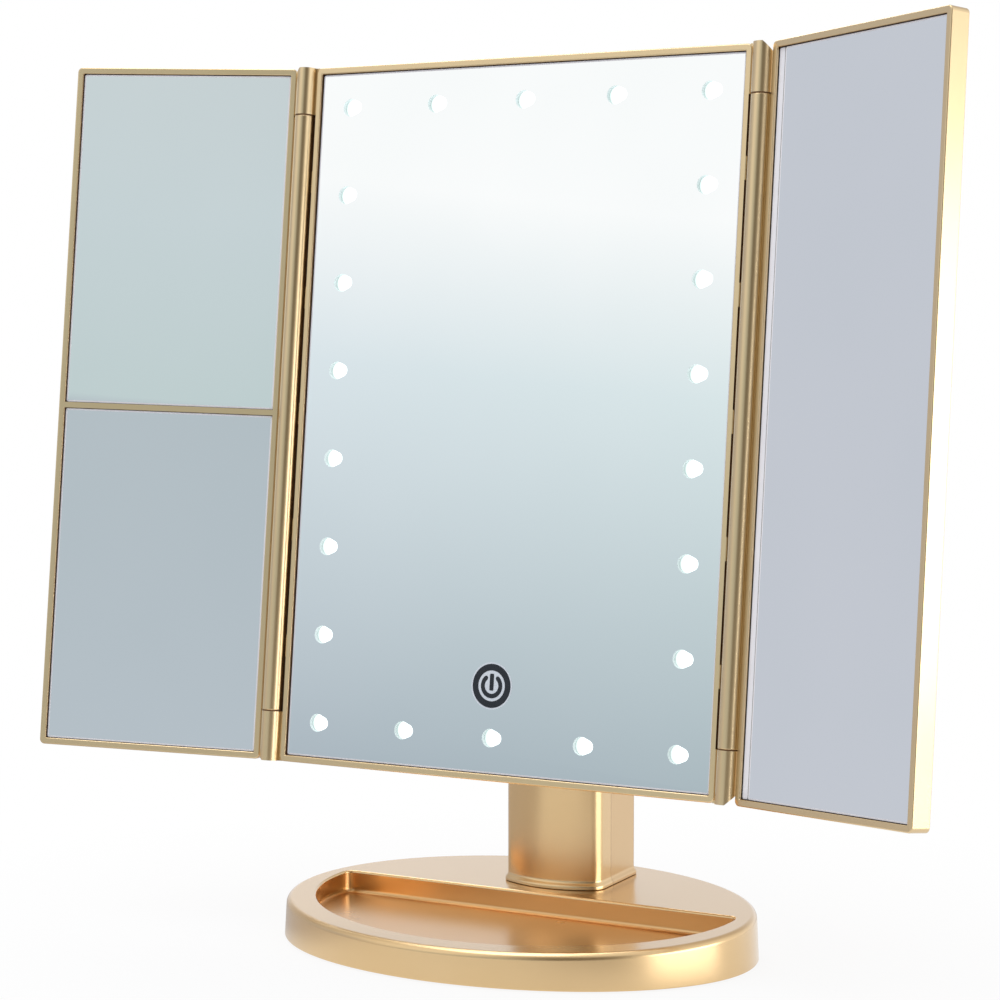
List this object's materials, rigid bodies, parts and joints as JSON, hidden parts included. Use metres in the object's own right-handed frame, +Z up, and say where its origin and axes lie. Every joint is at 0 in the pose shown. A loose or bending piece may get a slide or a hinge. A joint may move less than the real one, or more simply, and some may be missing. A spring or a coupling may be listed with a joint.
{
  "type": "tri-fold makeup mirror",
  "caption": "Lighted tri-fold makeup mirror on a tilting stand with an oval tray base; the side mirrors fold over the centre mirror.",
  "frame": {"origin": "middle of the base's underside, at the face that rests on the table", "axes": "+Z up, -Y towards the person in front of the mirror, +X to that person's right"},
  "size_m": [0.3466, 0.126, 0.3071],
  "materials": {
    "gold_front": "satin champagne gold metallic paint on plastic",
    "gold_back": "satin champagne gold metallic paint on plastic",
    "mirror_glass": "polished silvered glass",
    "steel": "zinc plated steel",
    "white_plastic": "matt, lets light through",
    "black_plastic": "fine matt texture",
    "circuit_board": "white solder mask",
    "grip_foam": "matt rubber foam sheet",
    "battery_wrap": "plain glossy wrap over a steel can",
    "nickel": "nickel plated spring steel"
  },
  "bodies": {
    "stand": {"base_tray": "gold_front", "base_bottom_cover": "black_plastic", "base_grip_pad": "grip_foam", "base_cover_screw_1": "steel", "base_cover_screw_2": "steel", "base_cover_screw_3": "steel", "base_cover_screw_4": "steel", "column_screw_1": "steel", "column_screw_2": "steel", "column_front_cover": "gold_front", "column_rear_shell": "gold_back", "spring_contact": "nickel", "plate_contact": "nickel", "battery_cell_1": "battery_wrap", "battery_cell_2": "battery_wrap", "battery_cell_3": "battery_wrap", "battery_cell_4": "battery_wrap", "power_board": "circuit_board", "power_switch_housing": "steel", "charging_socket": "steel", "tilt_bolt": "steel", "tilt_nut": "steel", "friction_washer_left": "black_plastic", "friction_washer_right": "black_plastic", "pivot_cap_left": "gold_back", "pivot_cap_right": "gold_back"},
    "battery_door": {"battery_door": "gold_back"},
    "power_switch": {"power_switch_knob": "black_plastic"},
    "head": {"centre_frame": "gold_front", "centre_rear_cover": "gold_back", "centre_mirror": "mirror_glass", "light_diffuser": "white_plastic", "lamp_board_left": "circuit_board", "lamp_board_right": "circuit_board", "lamp_board_top": "circuit_board", "lamp_board_bottom": "circuit_board", "touch_sensor": "circuit_board", "control_board": "circuit_board", "tilt_arm": "gold_back", "arm_screw_1": "steel", "arm_screw_2": "steel", "arm_screw_3": "steel", "arm_screw_4": "steel", "hinge_pin_left_lower": "steel", "hinge_pin_left_upper": "steel", "hinge_pin_right_lower": "steel", "hinge_pin_right_upper": "steel"},
    "left_wing": {"left_wing_frame": "gold_front", "left_wing_rear_cover": "gold_back", "left_upper_mirror": "mirror_glass", "left_lower_mirror": "mirror_glass"},
    "right_wing": {"right_wing_frame": "gold_front", "right_wing_rear_cover": "gold_back", "right_mirror": "mirror_glass"}
  },
  "joints": [
    {"name": "tilt", "type": "hinge", "parent": "stand", "child": "head", "pos_m": [0, 0.035, 0.15673], "axis": [-1, 0, 0], "range_deg": [-14.4, 84]},
    {"name": "left_wing_fold", "type": "hinge", "parent": "head", "child": "left_wing", "pos_m": [-0.08935, -0.00781, 0.18151], "axis": [0, 0.1033, 0.9946], "range_deg": [-16.8, 162.9]},
    {"name": "right_wing_fold", "type": "hinge", "parent": "head", "child": "right_wing", "pos_m": [0.08935, -0.00781, 0.18151], "axis": [0, -0.1033, -0.9946], "range_deg": [-25.6, 154.1]},
    {"name": "battery_door_pull", "type": "slide", "parent": "stand", "child": "battery_door", "axis": [0, 1, 0], "range_m": [0, 0.03]},
    {"name": "power_switch_slide", "type": "slide", "parent": "stand", "child": "power_switch", "axis": [1, 0, 0], "range_m": [0, 0.004]}
  ]
}
